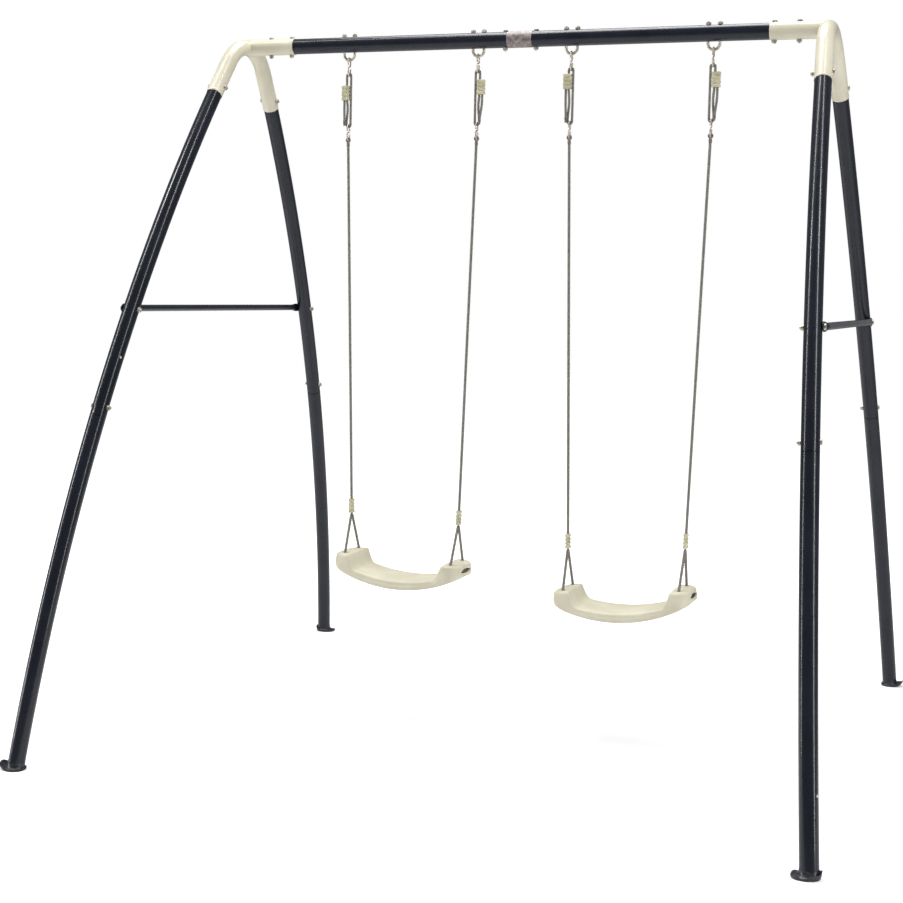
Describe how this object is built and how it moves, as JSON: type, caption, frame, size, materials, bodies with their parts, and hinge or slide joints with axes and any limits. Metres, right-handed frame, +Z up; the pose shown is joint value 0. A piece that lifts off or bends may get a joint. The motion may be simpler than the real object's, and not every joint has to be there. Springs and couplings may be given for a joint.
{
  "type": "swing set",
  "caption": "Garden swing set: curved tubular A-frames joined by a top beam, with moulded seats hung on ropes with adjusting sliders.",
  "frame": {"origin": "on the ground under the middle of the beam", "axes": "+X along the beam from the left A-frame to the right one, the front of the swings faces -Y, +Z up"},
  "size_m": [2.1478, 2.0384, 2.0319],
  "materials": {
    "dark_tube": "gloss",
    "cream_metal": "gloss",
    "seat_plastic": "satin",
    "slider_plastic": "satin",
    "zinc": "satin",
    "plate_metal": "satin",
    "rope": "matt"
  },
  "bodies": {
    "frame": {"beam_left": "dark_tube", "beam_right": "dark_tube", "beam_joint_sleeve": "dark_tube", "beam_plate": "plate_metal", "connector_left": "cream_metal", "connector_right": "cream_metal", "upper_leg_front_left": "dark_tube", "upper_leg_rear_left": "dark_tube", "upper_leg_front_right": "dark_tube", "upper_leg_rear_right": "dark_tube", "lower_leg_front_left": "dark_tube", "lower_leg_rear_left": "dark_tube", "lower_leg_front_right": "dark_tube", "lower_leg_rear_right": "dark_tube", "foot_front_left": "dark_tube", "foot_rear_left": "dark_tube", "foot_front_right": "dark_tube", "foot_rear_right": "dark_tube", "crossbar_left": "dark_tube", "crossbar_right": "dark_tube", "connector_leg_bolts": "zinc", "connector_leg_nuts": "zinc", "leg_joint_bolts": "zinc", "leg_joint_nuts": "zinc", "crossbar_bolts": "zinc", "crossbar_nuts": "zinc", "stub_bolts": "zinc", "stub_nuts": "zinc", "beam_joint_bolts": "zinc", "beam_joint_nuts": "zinc", "hanger_u_bolts": "zinc", "hanger_u_nuts": "zinc", "leg_screws": "zinc"},
    "left_hangers": {"left_swing_top_hooks": "zinc", "left_swing_loop_outer": "rope", "left_swing_loop_inner": "rope"},
    "left_ropes": {"left_swing_lower_hooks": "zinc", "left_swing_rope_outer": "rope", "left_swing_rope_inner": "rope"},
    "left_seat": {"left_swing_seat": "seat_plastic", "left_swing_seat_strand_outer": "rope", "left_swing_seat_strand_inner": "rope"},
    "left_loop_slider_outer": {"left_swing_loop_slider_outer": "slider_plastic"},
    "left_loop_slider_inner": {"left_swing_loop_slider_inner": "slider_plastic"},
    "left_seat_slider_outer": {"left_swing_seat_slider_outer": "slider_plastic"},
    "left_seat_slider_inner": {"left_swing_seat_slider_inner": "slider_plastic"},
    "right_hangers": {"right_swing_top_hooks": "zinc", "right_swing_loop_outer": "rope", "right_swing_loop_inner": "rope"},
    "right_ropes": {"right_swing_lower_hooks": "zinc", "right_swing_rope_outer": "rope", "right_swing_rope_inner": "rope"},
    "right_seat": {"right_swing_seat": "seat_plastic", "right_swing_seat_strand_outer": "rope", "right_swing_seat_strand_inner": "rope"},
    "right_loop_slider_outer": {"right_swing_loop_slider_outer": "slider_plastic"},
    "right_loop_slider_inner": {"right_swing_loop_slider_inner": "slider_plastic"},
    "right_seat_slider_outer": {"right_swing_seat_slider_outer": "slider_plastic"},
    "right_seat_slider_inner": {"right_swing_seat_slider_inner": "slider_plastic"}
  },
  "joints": [
    {"name": "left_hanger_swing", "type": "hinge", "parent": "frame", "child": "left_hangers", "pos_m": [-0.331, 0, 1.955], "axis": [1, 0, 0], "range_deg": [-60, 60]},
    {"name": "left_rope_swing", "type": "hinge", "parent": "left_hangers", "child": "left_ropes", "pos_m": [-0.331, 0, 1.7595], "axis": [1, 0, 0], "range_deg": [-30, 30]},
    {"name": "left_seat_pitch", "type": "hinge", "parent": "left_ropes", "child": "left_seat", "pos_m": [-0.331, 0, 0.57908], "axis": [0.9992, 0, -0.041], "range_deg": [-30, 30]},
    {"name": "left_loop_slider_outer_slide", "type": "slide", "parent": "left_hangers", "child": "left_loop_slider_outer", "axis": [0, 0, 1], "range_m": [-0.05, 0.01]},
    {"name": "left_loop_slider_inner_slide", "type": "slide", "parent": "left_hangers", "child": "left_loop_slider_inner", "axis": [0, 0, 1], "range_m": [-0.05, 0.01]},
    {"name": "left_seat_slider_outer_slide", "type": "slide", "parent": "left_ropes", "child": "left_seat_slider_outer", "axis": [-0.0267, 0, 0.9996], "range_m": [0, 0.1]},
    {"name": "left_seat_slider_inner_slide", "type": "slide", "parent": "left_ropes", "child": "left_seat_slider_inner", "axis": [0.0264, 0, 0.9997], "range_m": [0, 0.1]},
    {"name": "right_hanger_swing", "type": "hinge", "parent": "frame", "child": "right_hangers", "pos_m": [0.355, 0, 1.955], "axis": [1, 0, 0], "range_deg": [-60, 60]},
    {"name": "right_rope_swing", "type": "hinge", "parent": "right_hangers", "child": "right_ropes", "pos_m": [0.355, 0, 1.7595], "axis": [1, 0, 0], "range_deg": [-30, 30]},
    {"name": "right_seat_pitch", "type": "hinge", "parent": "right_ropes", "child": "right_seat", "pos_m": [0.355, 0, 0.53825], "axis": [0.9975, 0, 0.0706], "range_deg": [-30, 30]},
    {"name": "right_loop_slider_outer_slide", "type": "slide", "parent": "right_hangers", "child": "right_loop_slider_outer", "axis": [0, 0, 1], "range_m": [-0.05, 0.009]},
    {"name": "right_loop_slider_inner_slide", "type": "slide", "parent": "right_hangers", "child": "right_loop_slider_inner", "axis": [0, 0, 1], "range_m": [-0.05, 0.005]},
    {"name": "right_seat_slider_outer_slide", "type": "slide", "parent": "right_ropes", "child": "right_seat_slider_outer", "axis": [0.0261, 0, 0.9997], "range_m": [0, 0.1]},
    {"name": "right_seat_slider_inner_slide", "type": "slide", "parent": "right_ropes", "child": "right_seat_slider_inner", "axis": [-0.0256, 0, 0.9997], "range_m": [0, 0.1]}
  ]
}
